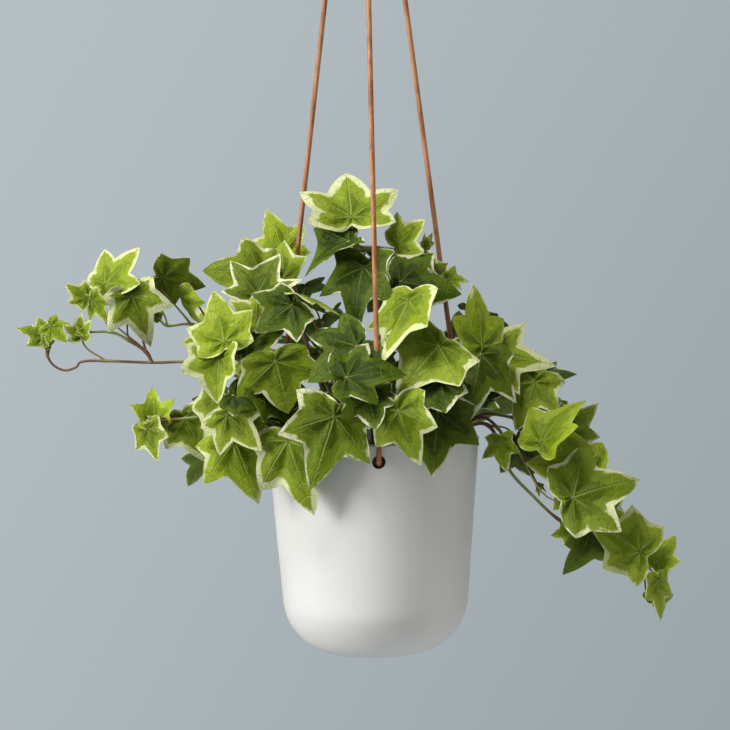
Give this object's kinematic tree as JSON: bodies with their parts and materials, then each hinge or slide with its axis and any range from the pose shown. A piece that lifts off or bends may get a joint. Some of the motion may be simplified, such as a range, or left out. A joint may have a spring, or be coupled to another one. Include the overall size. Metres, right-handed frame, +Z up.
{
  "type": "potted ivy",
  "caption": "Trailing variegated ivy growing in a plain white ceramic hanging pot on leather cords that meet in a knot and a loop",
  "frame": {"origin": "where a hook bears on the inside of the hanging loop, on the pot's axis", "axes": "+Z up along the pot's axis, +X to the right and +Y away as seen from the side with the front cord"},
  "size_m": [0.4173, 0.2135, 0.6232],
  "materials": {
    "ceramic": "satin white glaze",
    "soil": "rough, moist potting mix of bark and peat",
    "leather": "tan leather with a soft sheen",
    "ivy": "waxy green leaves with cream margins"
  },
  "bodies": {
    "root": {"pot": "ceramic", "soil": "soil", "cord_front": "leather", "cord_right": "leather", "cord_left": "leather", "stopper_knot_front": "leather", "stopper_knot_right": "leather", "stopper_knot_left": "leather", "top_knot": "leather", "hanging_loop": "leather", "ivy_back_centre_crown": "ivy", "ivy_back_centre_trailer": "ivy", "ivy_back_left_crown": "ivy", "ivy_back_left_trailer": "ivy", "ivy_back_right_crown": "ivy", "ivy_back_right_trailer": "ivy", "ivy_crown_back": "ivy", "ivy_crown_back_left": "ivy", "ivy_crown_back_right": "ivy", "ivy_crown_left": "ivy", "ivy_crown_right": "ivy", "ivy_crown_top": "ivy", "ivy_front_centre": "ivy", "ivy_front_left": "ivy", "ivy_front_right": "ivy", "ivy_heart_left": "ivy", "ivy_heart_middle": "ivy", "ivy_heart_right": "ivy", "ivy_left_crown": "ivy", "ivy_left_low_spray": "ivy", "ivy_left_runner": "ivy", "ivy_right_crown": "ivy", "ivy_right_short_trailer": "ivy", "ivy_right_side": "ivy", "ivy_right_trailer": "ivy", "ivy_right_upper_trailer": "ivy"}
  },
  "joints": []
}
